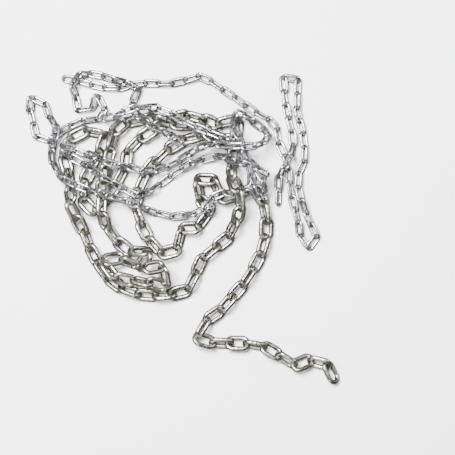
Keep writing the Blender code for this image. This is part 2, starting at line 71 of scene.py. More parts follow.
# A chain's wire diameter, the inside length and outside width of a link, all in millimetres, and the lean
# of its even links in degrees. The crown is the corners of the centre line round one end of a link, each
# as its distance from the end and from the middle, in half widths. The overlap is how deep two crowns of
# one row sit in each other, and the gap is what lies between those of one row and the next.
Chain = namedtuple("Chain", "wire pitch width lean crown overlap gap")
BLUNT_CROWN = ((0.5, 1.0), (0.0, 0.5), (0.0, -0.5), (0.5, -1.0))
POINTED_CROWN = ((0.45, 1.0), (0.0, 0.0), (0.45, -1.0))
THICK = Chain(wire=8.0, pitch=32.0, width=30.0, lean=32.0, crown=BLUNT_CROWN, overlap=2.2, gap=0.6)
THIN = Chain(wire=5.0, pitch=26.0, width=18.0, lean=36.0, crown=POINTED_CROWN, overlap=1.7, gap=0.7)

SECTION = 1.14  # diagonal of the square wire of a link against the diameter of the real round wire
MOST_SIDES = 5  # of a crown, with its two bars
BENT_OVERLAP = 1.2  # overlap added at a bend, as a share of it, times 1 - cos(half the bend)
WIRE_CLEARANCE = 1.1  # between links that only lie on or beside each other
STEEPEST = 0.72  # rise of a chain for each millimetre along it
ROW_LINKS = 7  # links in one row, about
FEWEST = 4  # links in one row
CHOICES = 3  # joints that the end of a row is chosen from, at the least
PER_LINK = 0.04  # sharper bend, in radians, that a row starts at for each link more in the row before
ROW_BEND = math.radians(75.0)  # a row turns no further than this along its length where it has the choice
LEAN_DRIFT = 7.0  # how far the lean of the links wanders, in degrees
END_LEAN = 45.0  # lean of the thick chain's loose end link, which rests on a flat of its wire

# Routes of the chains over the floor, in millimetres: x, y and the layer that the chain lies in there.
# Where two chains cross, the one with the higher layer passes over the other.
THICK_ROUTE = [
    (286, -286, 0), (276, -262, 0), (254, -247, 0), (230, -253, 0), (207, -257, 0), (187, -244, 0),
    (165, -229, 0), (140, -219, 0), (110, -217, 0), (80, -217, 0), (52, -216, 0), (30, -207, 0),
    (27, -188, 0), (44, -176, 0), (66, -160, 0), (84, -140, 0), (101, -121, 0), (117, -102, 0),
    (132, -78, 0), (147, -50, 0), (156, -20, 0), (158, 8, 0), (155, 34, 0),
    (149, 57, 0), (138, 74, 0), (118, 74, 0), (98, 62, 0), (80, 60, 0), (66, 62, 0),
    (64, 84, 1), (48, 93, 1), (28, 88, 1), (24, 70, 1), (36, 54, 1), (47, 36, 1),
    (48, 12, 0), (30, 4, 0), (10, 14, 0), (0, 0, 0), (-4, -14, 0), (-9, -31, 0),
    (-18, -47, 0), (-35, -48, 0), (-53, -35, 0), (-69, -14, 0), (-78, 3, 0), (-82, 20, 0),
    (-91, 38, 0), (-90, 58, 0), (-82, 76, 0), (-75, 92, 0), (-68, 112, 0), (-50, 129, 0),
    (-33, 146, 0), (-14, 158, 0), (8, 170, 0), (34, 174, 0), (62, 172, 0), (90, 170, 0),
    (112, 180, 1), (104, 200, 1), (82, 202, 1), (60, 193, 1), (38, 206, 0), (10, 214, 0),
    (-15, 209, 0), (-42, 196, 0), (-62, 180, 0), (-88, 164, 0), (-103, 146, 0), (-107, 120, 0),
    (-116, 98, 0), (-130, 76, 0), (-146, 54, 0), (-164, 34, 0), (-180, 28, 0), (-187, 48, 0),
    (-187, 80, 0), (-178, 104, 0), (-165, 128, 0), (-153, 152, 0), (-150, 177, 0), (-168, 186, 0),
    (-190, 178, 0), (-210, 168, 0), (-222, 150, 0), (-222, 128, 0), (-216, 106, 0), (-212, 82, 0),
    (-210, 56, 0), (-203, 29, 0), (-189, -3, 0), (-177, -33, 0), (-163, -63, 0), (-146, -88, 0),
    (-121, -110, 0), (-91, -123, 0), (-61, -127, 0), (-31, -126, 0), (-2, -121, 0), (18, -108, 0),
    (26, -78, 0), (40, -52, 0), (63, -35, 0), (86, -16, 0), (98, 5, 0), (108, 29, 1),
    (106, 55, 2), (104, 74, 2), (92, 94, 2), (86, 112, 2), (98, 130, 2), (98, 150, 3),
    (72, 160, 3), (42, 184, 2), (10, 194, 2), (-20, 193, 2), (-50, 204, 2), (-80, 211, 1),
    (-106, 202, 1), (-127, 188, 1), (-136, 166, 1), (-134, 146, 1), (-143, 122, 1), (-151, 98, 1),
    (-156, 74, 2), (-142, 52, 3), (-128, 44, 3), (-146, 28, 3), (-158, 14, 2), (-144, -2, 0),
    (-130, -17, 0), (-114, -36, 0), (-94, -46, 0), (-72, -42, 0), (-62, -58, 0), (-76, -72, 0),
    (-98, -64, 1), (-122, -56, 1), (-142, -56, 0), (-140, -78, 0), (-122, -92, 0), (-98, -97, 0),
    (-72, -101, 0), (-44, -104, 0), (-18, -102, 0), (-14, -82, 0), (-36, -76, 1), (-62, -75, 1),
    (-84, -78, 1),
]
THIN_EAST_ROUTE = [
    (-226, 283, 0), (-196, 279, 0), (-165, 269, 0), (-133, 262, 0), (-112, 267, 0), (-93, 275, 1),
    (-67, 275, 0), (-40, 273, 0), (-10, 274, 0), (15, 283, 0), (37, 292, 0), (57, 274, 0),
    (82, 258, 0), (104, 243, 0), (125, 228, 0), (146, 212, 1), (168, 207, 1), (182, 196, 1),
    (176, 180, 1), (180, 162, 1), (190, 142, 1), (200, 120, 1), (201, 100, 0), (200, 82, 0),
    (206, 58, 0), (213, 29, 0), (221, 1, 0), (222, -22, 0), (237, -37, 0), (253, -24, 0),
    (248, -2, 0), (238, 12, 0), (229, 37, 0), (220, 62, 0), (216, 86, 0), (218, 108, 0),
    (231, 126, 0), (231, 150, 0), (226, 182, 0), (219, 208, 0), (213, 236, 0), (217, 264, 0),
    (214, 286, 0), (191, 286, 0), (191, 262, 0), (193, 238, 0), (199, 208, 0), (207, 180, 0),
    (210, 150, 2), (194, 120, 2), (182, 104, 0), (179, 84, 0), (181, 60, 0), (179, 34, 0),
    (178, 24, 0),
]
THIN_WEST_ROUTE = [
    (-3, 157, 4), (-18, 170, 4), (-36, 183, 4), (-58, 192, 4), (-80, 202, 4), (-94, 218, 4),
    (-93, 238, 1), (-107, 248, 1), (-100, 259, 1), (-82, 262, 1), (-98, 271, 2), (-120, 276, 2),
    (-146, 288, 1), (-184, 292, 1), (-216, 286, 1), (-208, 264, 0), (-199, 238, 0), (-194, 216, 1),
    (-170, 228, 1), (-158, 254, 1), (-149, 222, 3), (-166, 203, 3), (-185, 205, 3), (-205, 198, 3),
    (-225, 186, 3), (-245, 172, 1), (-258, 158, 0), (-272, 158, 0), (-279, 178, 0), (-284, 205, 0),
    (-292, 232, 0), (-280, 251, 0), (-264, 240, 0), (-257, 220, 1), (-252, 208, 1), (-236, 192, 4),
    (-239, 170, 3), (-248, 150, 0),
    (-251, 128, 0), (-243, 108, 2), (-232, 96, 4), (-218, 88, 4), (-196, 78, 4), (-168, 69, 4),
    (-144, 62, 5), (-116, 54, 5), (-93, 47, 4), (-72, 38, 2), (-46, 27, 0), (-22, 19, 0),
    (-6, 27, 0), (14, 26, 2), (34, 22, 3), (48, 40, 3), (58, 64, 3), (80, 68, 1),
    (104, 59, 0), (124, 66, 1), (134, 88, 1), (128, 112, 3),
]
THIN_MIDDLE_ROUTE = [
    (-150, 206, 5), (-130, 209, 5), (-106, 217, 4), (-80, 228, 3), (-53, 227, 1), (-30, 222, 1),
    (-14, 208, 4), (8, 194, 4), (35, 184, 4), (62, 174, 4), (87, 164, 4), (110, 148, 4),
    (128, 129, 4), (138, 106, 4), (152, 88, 2), (160, 66, 1), (144, 53, 2), (130, 70, 3),
    (128, 102, 5), (118, 136, 5), (108, 164, 5), (97, 188, 3), (88, 208, 3), (106, 215, 3),
    (130, 206, 2), (152, 192, 1), (166, 176, 1), (158, 158, 2), (138, 152, 5), (114, 150, 5),
    (88, 152, 5), (62, 158, 4), (32, 153, 1), (-2, 130, 0), (-26, 117, 0), (-48, 106, 1),
    (-72, 102, 2), (-87, 113, 4), (-106, 114, 4), (-130, 122, 4), (-154, 127, 4), (-177, 138, 4),
    (-200, 149, 3), (-217, 156, 3), (-231, 148, 3), (-218, 140, 4), (-197, 128, 4), (-177, 116, 4),
    (-162, 103, 4), (-146, 93, 4), (-124, 82, 4), (-97, 66, 3), (-80, 54, 2), (-66, 60, 1),
    (-58, 75, 0), (-42, 86, 0), (-20, 101, 0), (5, 115, 0), (27, 128, 0), (50, 141, 0),
    (76, 138, 4), (100, 122, 4), (124, 112, 5), (146, 112, 5), (162, 98, 3),
]
LENGTHS = [
    ("thick", THICK, THICK_ROUTE),
    ("thin_east", THIN, THIN_EAST_ROUTE),
    ("thin_west", THIN, THIN_WEST_ROUTE),
    ("thin_middle", THIN, THIN_MIDDLE_ROUTE),
]

WIRE_SAMPLES = 36  # points round a link's centre line that clearances are worked out from
LAYING_ROUNDS = 3
LIFTING_STEPS = 60
SETTLING_ROUNDS = 14
SINKING_ROUNDS = 8  # of them, in which the chains still sink
SETTLING_STEPS = 20
RESTING_ROUNDS = 3
LAST_STEPS = 40
SINKING = 0.4  # millimetres that the chains sink in one step, at first
HOLDING = 0.03  # how much of its way back to its route a joint goes in one step
NEAR = 3.0  # millimetres beyond their clearance at which two wires are watched
CROSSING_STEP = 4  # points of a curve from one to the next where crossings are looked for
CROSSING_SEARCH = 9  # steps within which a pair of links belongs to a crossing
SAME_LAYER = 0.3  # layers closer than this don't decide which chain passes over
DRIFT_STEP = 1.7  # radians of the lean's slow wandering for each link
SQUAREST = 0.01  # least cosine between a side of a crown and a direction that can meet it


def half_section(chain):
    """Half the diagonal of the square wire."""
    return SECTION * chain.wire / 2


def half_length(chain):
    """From a link's middle to the centre line of its crown."""
    return (chain.pitch + chain.wire) / 2


def half_width(chain):
    """From a link's middle to the centre line of its side bar."""
    return (chain.width - chain.wire) / 2


def smooth(route):
    """Points each millimetre or so along a smooth curve through a route: x, y and layer."""
    points = np.array(route, float)
    points = np.vstack([2 * points[0] - points[1], points, 2 * points[-1] - points[-2]])
    curve = []
    for before, start, end, after in zip(points, points[1:], points[2:], points[3:]):
        steps = max(int(np.hypot(*(end - start)[:2])), 4)
        for t in np.arange(steps) / steps:
            bend = 2 * start + (end - before) * t
            bend += (2 * before - 5 * start + 4 * end - after) * t**2
            bend += (3 * start - before - 3 * end + after) * t**3
            curve.append([*(bend / 2)[:2], start[2] + (end[2] - start[2]) * t])
    curve.append(points[-2])
    return np.array(curve)


def corners(chain):
    """Corners of a link's centre line, with the direction in which each moves when the line is offset."""
    crown = [
        (half_length(chain) - back * half_width(chain), side * half_width(chain))
        for back, side in chain.crown
    ]
    line = np.array([(x, y) for x, y in crown] + [(-x, -y) for x, y in crown])
    before, after = line - np.roll(line, 1, axis=0), np.roll(line, -1, axis=0) - line
    out_before = np.column_stack([-before[:, 1], before[:, 0]]) / np.linalg.norm(before, axis=1)[:, None]
    out_after = np.column_stack([-after[:, 1], after[:, 0]]) / np.linalg.norm(after, axis=1)[:, None]
    sideways = out_before + out_after
    mitre = 2 * sideways / (sideways**2).sum(axis=1)[:, None]
    return line, mitre


def ridge(chain):
    """From the centre line of a crown to the ridge on its inner side."""
    line, mitre = corners(chain)
    foremost = np.argmax(line[:, 0])
    return half_section(chain) * abs(mitre[foremost, 0])


def crown_sides(chain):
    """The sides of a crown and of the bars behind it: which way each faces, and how far out it lies."""
    line = [(chain.width, 1.0)] + [(back, side) for back, side in chain.crown] + [(chain.width, -1.0)]
    points = np.array([(1.0 - back, side) for back, side in line]) * half_width(chain)
    steps = np.diff(points, axis=0)
    turns = np.arctan2(steps[:, 0], -steps[:, 1])
    outward = np.column_stack([np.cos(turns), np.sin(turns)])
    distances = (points[:-1] * outward).sum(axis=1)
    return np.resize(turns, MOST_SIDES), np.resize(distances, MOST_SIDES)


def walk(curve, heights, chain):
    """Lays links end to end along a curve. Gives each link's two ends and their places on the curve."""
    path = np.column_stack([curve[:, :2], heights])
    apart = 2 * ridge(chain) - chain.overlap
    here, at, links = path[0], 0.0, []
    reached = stride(path, here, at, chain.pitch)
    while reached is not None:
        end = point_at(path, reached)
        links.append((here, end, at, reached))
        before, at, here = end - here, reached, end
        reached = stride(path, here, at, chain.pitch)
        if reached is not None:
            after = point_at(path, reached) - here
            both = before / np.linalg.norm(before) + after / np.linalg.norm(after)
            here = here - both / np.linalg.norm(both) * (apart - chain.wire * np.linalg.norm(both) / 2)
            reached = stride(path, here, at, chain.pitch)
    return links


def stride(path, here, at, length):
    """The place on a path, beyond a given place, that lies a given length from a point."""
    first = int(at) + 1
    away = np.linalg.norm(path[first:] - here, axis=1)
    beyond = np.nonzero(away >= length)[0]
    if not len(beyond):
        return None
    n = beyond[0]
    inner = away[n - 1] if n else 0.0
    return first + n - 1 + (length - inner) / max(away[n] - inner, 1e-6)


def point_at(path, place):
    n = min(int(place), len(path) - 2)
    return path[n] + (path[n + 1] - path[n]) * (place - n)


def divide(joints, loose_end):
    """Numbers of the links that start a row, each at the straightest joint within reach."""
    links = joints[1:] - joints[:-1]
    heading = np.arctan2(links[:, 1], links[:, 0])
    bends = np.append(0.0, (np.diff(heading) + math.pi) % (2 * math.pi) - math.pi)
    starts = [0, 1] if loose_end else [0]
    while len(links) - starts[-1] > ROW_LINKS + 2:
        first = starts[-1]
        turned, reach = 0.0, []
        for n in range(first + 1, min(first + ROW_LINKS + 3, len(links) - 2)):
            if n - first >= FEWEST and (abs(turned) <= ROW_BEND or len(reach) < CHOICES):
                reach.append(n)
            turned += bends[n]
        starts.append(min(reach, key=lambda n: abs(bends[n]) - PER_LINK * (n - first)))
    return starts


def wire_line(chain, count):
    """Points round the centre line of a link, along its length and across it."""
    straight, turn = half_length(chain) - half_width(chain), half_width(chain)
    around = 4 * straight + 2 * math.pi * turn
    points = []
    for n in range(count):
        s = around * n / count
        side, s = divmod(s, around / 2)
        sign = -1.0 if side else 1.0
        if s < 2 * straight:
            x, y = straight - s, turn
        else:
            angle = (s - 2 * straight) / turn
            x, y = -straight - turn * math.sin(angle), turn * math.cos(angle)
        points.append((sign * x, sign * y))
    return np.array(points)


def across_of(along, lean):
    """The directions across the openings of links, from their directions and leans."""
    level = np.cross((0.0, 0.0, 1.0), along)
    level /= np.linalg.norm(level, axis=1)[:, None]
    return np.cos(lean)[:, None] * level + np.sin(lean)[:, None] * np.cross(along, level)


def frame_of(start, end, lean):
    """A link's middle and its directions along, across its opening, and out of its plane."""
    along = (end - start) / np.linalg.norm(end - start)
    across = across_of(along[None], np.array([lean]))[0]
    return (start + end) / 2, along, across, np.cross(along, across)


def lean_of(chain, number):
    """The lean of a link about its own length, turned a quarter from one link to the next."""
    if chain is THICK and number < 2:
        return math.radians(END_LEAN + 90.0 * number)
    drift = LEAN_DRIFT * math.sin(DRIFT_STEP * number + chain.wire)
    return math.radians(chain.lean + 90.0 * (number % 2) + drift)


def lay_out():
    """Lays every link at rest: a list of (length's name, chain, rows), a row being its links' frames."""
    curves = [smooth(route) for _, _, route in LENGTHS]
    over = crossings(curves)
    heights = [np.full(len(curve), chain.width / 2) for curve, (_, chain, _) in zip(curves, LENGTHS)]
    for _ in range(LAYING_ROUNDS):
        laid = [
            walk(curve, height, chain) for curve, height, (_, chain, _) in zip(curves, heights, LENGTHS)
        ]
        heap = Heap(laid, over)
        heap.lift()
        for n, (links, joints) in enumerate(zip(laid, np.split(heap.joints[:, 2], heap.splits))):
            places = [links[0][2]] + [link[3] for link in links]
            heights[n] = np.interp(np.arange(len(curves[n])), places, joints)
    heap.settle()
    starts = heap.loosen()
    heap.rest()
    return heap.rows(starts)


class Heap:
    """The joints between the links of all the lengths, and what they rest on."""

    def __init__(self, laid, over):
        self.over = over
        self.chains, self.owner, leans, joints, base = [], [], [], [], []
        for number, (links, (_, chain, _)) in enumerate(zip(laid, LENGTHS)):
            for n, (start, end, at, reached) in enumerate(links):
                base.append(len(joints) + n)
                self.chains.append(chain)
                self.owner.append((number, n, round((at + reached) / 2 / CROSSING_STEP)))
                leans.append(lean_of(chain, n))
            joints += [links[0][0]] + [link[1] for link in links]
        self.joints, self.base, self.leans = np.array(joints), np.array(base), np.array(leans)
        self.apart = np.array([2 * ridge(chain) - chain.overlap for chain in self.chains])
        self.deeper = BENT_OVERLAP * np.array([chain.overlap for chain in self.chains])
        self.routed = self.joints[:, :2].copy()
        self.pitch = np.array([chain.pitch for chain in self.chains])
        self.reach = np.array([half_section(chain) for chain in self.chains])
        sides = [crown_sides(chain) for chain in self.chains]
        self.crown_turns, self.crown_sides = np.array(sides).transpose(1, 0, 2)
        self.hollow = np.array([half_width(chain) - chain.wire / 2 for chain in self.chains])
        self.lines = np.array([wire_line(chain, WIRE_SAMPLES) for chain in self.chains])
        self.share = np.clip(self.lines[:, :, 0] / self.pitch[:, None] + 0.5, 0.0, 1.0)
        self.splits = np.cumsum([len(links) + 1 for links in laid])[:-1]
        self.even = np.array([number % 2 == 0 for _, number, _ in self.owner])
        self.inner_link = np.array([n for n, (_, number, _) in enumerate(self.owner) if number])

    def ends(self):
        """Where each link starts and ends, its crowns hooked into those of its neighbours.

        The wires touch along the direction midway between two links. Each link is touched at the point
        of its crown that this direction, seen in the link's own plane, leads to.
        """
        along = self.joints[self.base + 1] - self.joints[self.base]
        along /= np.linalg.norm(along, axis=1)[:, None]
        across = across_of(along, self.leans)
        out = np.cross(along, across)
        after = self.inner_link
        before = after - 1
        both = along[before] + along[after]
        size = np.linalg.norm(both, axis=1)
        middle = both / size[:, None]
        apart = self.apart[after] - self.deeper[after] * (1 - size / 2)
        past = middle * apart[:, None] + both * self.hollow[after][:, None]
        for link in (before, after):
            flat = middle - out[link] * (middle * out[link]).sum(axis=1)[:, None]
            flat /= np.linalg.norm(flat, axis=1)[:, None]
            turn = np.arctan2((flat * across[link]).sum(axis=1), (flat * along[link]).sum(axis=1))
            facing = np.maximum(np.cos(turn[:, None] - self.crown_turns[link]), SQUAREST)
            past -= flat * (self.crown_sides[link] / facing).min(axis=1)[:, None]
        start, end = self.joints[self.base], self.joints[self.base + 1]
        end[before] += past / 2
        start[after] -= past / 2
        return start, end

    def frames(self):
        return [frame_of(start, end, lean) for start, end, lean in zip(*self.ends(), self.leans)]

    def look(self):
        """Finds the pairs of wire points that are near each other."""
        turned = np.array([
            middle + np.outer(line[:, 0], along) + np.outer(line[:, 1], across)
            for line, (middle, along, across, _) in zip(self.lines, self.frames())
        ])
        share = self.share[:, :, None]
        self.offset = turned - self.joints[self.base][:, None] * (1 - share)
        self.offset -= self.joints[self.base + 1][:, None] * share
        above, above_at, below, below_at = contacts(self.owner, turned[:, :, :2], self.reach, self.over)
        self.above, self.below = (above, above_at), (below, below_at)
        self.need = self.reach[above] + self.reach[below] + WIRE_CLEARANCE

    def wires(self, at):
        base, share = self.base[at[0]], self.share[at][:, None]
        return self.joints[base] * (1 - share) + self.joints[base + 1] * share + self.offset[at]

    def raise_joints(self):
        """Raises every link that is too near the floor or what it lies on, and bridges steep steps."""
        height, raised = self.joints[:, 2], np.zeros(len(self.joints))
        every = np.nonzero(np.ones_like(self.share))
        for at, short in (
            (every, self.reach[every[0]] - self.wires(every)[:, 2]),
            (self.above, self.shortfall()),
        ):
            share = self.share[at]
            short = np.maximum(short, 0.0) / (share**2 + (1 - share) ** 2)
            np.maximum.at(raised, self.base[at[0]], short * (1 - share))
            np.maximum.at(raised, self.base[at[0]] + 1, short * share)
        height += raised
        for part, chain in zip(np.split(height, self.splits), (chain for _, chain, _ in LENGTHS)):
            step = chain.pitch * STEEPEST
            for n in range(1, len(part)):
                part[n] = max(part[n], part[n - 1] - step)
            for n in range(len(part) - 2, -1, -1):
                part[n] = max(part[n], part[n + 1] - step)

    def shortfall(self):
        """How much higher each upper wire point would have to be to clear the lower one."""
        apart = self.wires(self.above) - self.wires(self.below)
        rise = np.sqrt(np.maximum(self.need**2 - (apart[:, :2] ** 2).sum(axis=1), 0.0))
        return np.where(rise > 0, rise - apart[:, 2], 0.0)

    def keep_lengths(self):
        """Moves the joints so that every link has its length again."""
        for chosen in (self.even, ~self.even):
            start, end = self.ends()
            along = (end - start)[chosen]
            length = np.linalg.norm(along, axis=1)
            move = along * ((1 - self.pitch[chosen] / length) / 2)[:, None]
            self.joints[self.base[chosen]] += move
            self.joints[self.base[chosen] + 1] -= move

    def lift(self):
        self.joints[:, 2] = 0.0
        self.look()
        for _ in range(LIFTING_STEPS):
            self.raise_joints()

    def settle(self):
        """Lets the chains sink onto each other, each link keeping its length."""
        for turn in range(SETTLING_ROUNDS):
            left = max(1 - turn / SINKING_ROUNDS, 0.0)
            for _ in range(SETTLING_STEPS):
                self.joints[:, 2] -= SINKING * left
                self.joints[:, :2] += (self.routed - self.joints[:, :2]) * HOLDING * left
                self.keep_lengths()
                self.raise_joints()
            self.look()

    def loosen(self):
        """Divides each length into rows, and gives the first link of each row its clearance."""
        starts = [divide(part, n == 0) for n, part in enumerate(np.split(self.joints, self.splits))]
        for n, (number, link, _) in enumerate(self.owner):
            if link in starts[number]:
                self.apart[n] = 2 * ridge(self.chains[n]) + self.chains[n].gap
                self.deeper[n] = 0.0
        return starts

    def rest(self):
        for _ in range(RESTING_ROUNDS):
            for _ in range(SETTLING_STEPS):
                self.raise_joints()
                self.keep_lengths()
                self.keep_lengths()
            self.look()
        for _ in range(LAST_STEPS):
            self.raise_joints()
            self.keep_lengths()

    def rows(self, starts):
        frames, result, first = self.frames(), [], 0
        for number, (name, chain, _) in enumerate(LENGTHS):
            count = sum(owner[0] == number for owner in self.owner)
            ends = [n for n in starts[number][1:] if n < count - 1] + [count]
            rows = [frames[first + a:first + b] for a, b in zip([0] + ends, ends)]
            result.append((name, chain, rows))
            first += count
        return result


def contacts(owner, points, reach, over):
    """Every pair of wire points near enough, seen from above, for one link to have to clear the other."""
    middles = points.mean(axis=1)
    sizes = np.linalg.norm(points - middles[:, None], axis=2).max(axis=1)
    found = []
    for a, (length_a, number_a, place_a) in enumerate(owner):
        near = np.linalg.norm(middles[a + 1:] - middles[a], axis=1)
        close = near < sizes[a + 1:] + sizes[a] + reach[a + 1:] + reach[a] + WIRE_CLEARANCE + NEAR
        for b in a + 1 + np.nonzero(close)[0]:
            length_b, number_b, place_b = owner[b]
            if length_a == length_b and number_b - number_a < 2:
                continue
            apart = np.linalg.norm(points[a][:, None] - points[b][None], axis=2)
            at_a, at_b = np.nonzero(apart < reach[a] + reach[b] + WIRE_CLEARANCE + NEAR)
            if passes_over(over, (length_a, place_a), (length_b, place_b)):
                found.append((b, at_b, a, at_a))
            else:
                found.append((a, at_a, b, at_b))
    return [np.concatenate([np.broadcast_to(f[n], len(f[1])) for f in found]) for n in range(4)]


def crossings(curves):
    """Each place where two stretches of chain are near each other, and whether the later one is above."""
    samples = [
        (length, n // CROSSING_STEP, *curve[n])
        for length, curve in enumerate(curves) for n in range(0, len(curve), CROSSING_STEP)
    ]
    table = np.array(samples)
    widths = np.array([LENGTHS[int(length)][1].width for length in table[:, 0]])
    pitches = np.array([LENGTHS[int(length)][1].pitch for length in table[:, 0]])
    met = {}
    for a in range(len(table)):
        rest = table[a + 1:]
        near = np.linalg.norm(rest[:, 2:4] - table[a, 2:4], axis=1) < (widths[a + 1:] + widths[a]) / 2
        own = rest[:, 0] == table[a, 0]
        near &= ~(own & (rest[:, 1] - table[a, 1] < 2 * pitches[a] / CROSSING_STEP))
        for b in a + 1 + np.nonzero(near)[0]:
            met[samples[a][:2], samples[b][:2]] = samples[b][4] - samples[a][4]
    over, left = {}, set(met)
    while left:
        edge, group = [left.pop()], []
        while edge:
            (length_a, a), (length_b, b) = edge.pop()
            group.append(((length_a, a), (length_b, b)))
            for pair in beside(length_a, a, length_b, b, 1):
                if pair in left:
                    left.remove(pair)
                    edge.append(pair)
        layer = sum(met[pair] for pair in group) / len(group)
        for pair in group:
            over[pair] = layer > -SAME_LAYER
    return over


def beside(length_a, a, length_b, b, reach):
    steps = range(-reach, reach + 1)
    return [((length_a, a + da), (length_b, b + db)) for da in steps for db in steps]


def passes_over(over, first, second):
    """Whether the second of two places passes over the first, by the crossing nearest to both."""
    for reach in range(CROSSING_SEARCH):
        for pair in beside(*first, *second, reach):
            if pair in over:
                return over[pair]
    return True


def corners_of(chain, frame):
    line, mitre = corners(chain)
    half = half_section(chain)
    rings = [line + mitre * half, line, line - mitre * half, line]
    rise = (0.0, half, 0.0, -half)
    points = np.array([(x, y, z) for ring, z in zip(rings, rise) for x, y in ring])
    middle, *axes = frame
    return middle + points @ np.array(axes)


def on_floor(laid):
    """Moves the frames: the heap comes onto the floor, with the middle of its outline over the origin."""
    _, chain, rows = laid[0]
    middle, along, *_ = rows[0][0]
    level = np.array([*along[:2], 0.0])
    rows[0][0] = frame_of(middle - level, middle + level, math.radians(END_LEAN))
    points = np.vstack([
        corners_of(chain, frame) for _, chain, rows in laid for row in rows for frame in row
    ])
    shift = (points.min(axis=0) + points.max(axis=0)) / 2
    shift[2] = points[:, 2].min()
    laid = [
        (name, chain, [[(middle - shift, *axes) for middle, *axes in row] for row in rows])
        for name, chain, rows in laid
    ]
    _, chain, rows = laid[0]
    middle, *axes = rows[0][0]
    rows[0][0] = (middle - [0.0, 0.0, corners_of(chain, rows[0][0])[:, 2].min()], *axes)
    return laid


heap = on_floor(lay_out())

# Bright steel
# The links are drawn wire, bent, butt-welded and tumbled bright. Lines from the drawing run along the wire,
# a thin film of grease and oxide dulls it in patches, and the crowns are rubbed clean where links meet.

def add_node(tree, kind, **settings):
    node = tree.nodes.new(kind)
    for name, value in settings.items():
        if name in node.inputs:
            node.inputs[name].default_value = value
        else:
            setattr(node, name, value)
    return node


def feed(tree, sockets, values):
    """Links each socket to its value where that comes from a node, and sets it otherwise."""
    for socket, value in zip(sockets, values):
        if isinstance(value, bpy.types.NodeSocket):
            tree.links.new(value, socket)
        else:
            socket.default_value = value


MIX_INPUTS = (0, 6, 7)  # of a Mix node that mixes colours: the share, the first and the second
MIX_OUTPUT = 2


def mixed_colour(tree, share, first, second):
    node = add_node(tree, "ShaderNodeMix", data_type="RGBA")
    feed(tree, [node.inputs[n] for n in MIX_INPUTS], (share, first, second))
    return node.outputs[MIX_OUTPUT]


def calculated(tree, operation, first, second):
    node = add_node(tree, "ShaderNodeMath", operation=operation)
    feed(tree, node.inputs, (first, second))
    return node.outputs[0]


def ranged(tree, value, span, result=(0.0, 1.0)):
    """A value's place in a span of it, as a number between the two of the result."""
    node = add_node(tree, "ShaderNodeMapRange")
    sockets = [node.inputs[name] for name in ("Value", "From Min", "From Max", "To Min", "To Max")]
    feed(tree, sockets, (value, *span, *result))
    return node.outputs["Result"]


def noise(tree, place, scale, detail, roughness):
    node = add_node(tree, "ShaderNodeTexNoise")
    sockets = [node.inputs[name] for name in ("Vector", "Scale", "Detail", "Roughness")]
    feed(tree, sockets, (place, scale, detail, roughness))
    return node.outputs["Fac"]


# The noise that makes each mark on the wire: its scale, for each metre, its detail and its roughness.
FILM_NOISE = (45.0, 3.0, 0.55)
SPECK_NOISE = (420.0, 5.0, 0.7)
SCRATCH_NOISE = (900.0, 2.0, 0.5)
LINE_NOISE = (1.0, 4.0, 0.65)  # on places that are already stretched along the wire

# The span of its noise over which each mark comes up.
FILM_SPAN = (0.42, 0.62)
SPECK_SPAN = (0.60, 0.72)
SCRATCH_SPAN = (0.56, 0.60)
LINE_TINT_SPAN = (0.35, 0.65)
LINE_SHEEN_SPAN = (0.3, 0.7)

SPECK_TINT = 0.55  # how far specks take the colour of soil
LINE_TINT = 0.16
LINE_ROUGHNESS = (-0.05, 0.07)  # added by the drawn lines
SPECK_ROUGHNESS = 0.15
LEAST_ROUGHNESS = 0.08
SCRATCH_HEIGHT = -0.25
SPECK_HEIGHT = -0.35


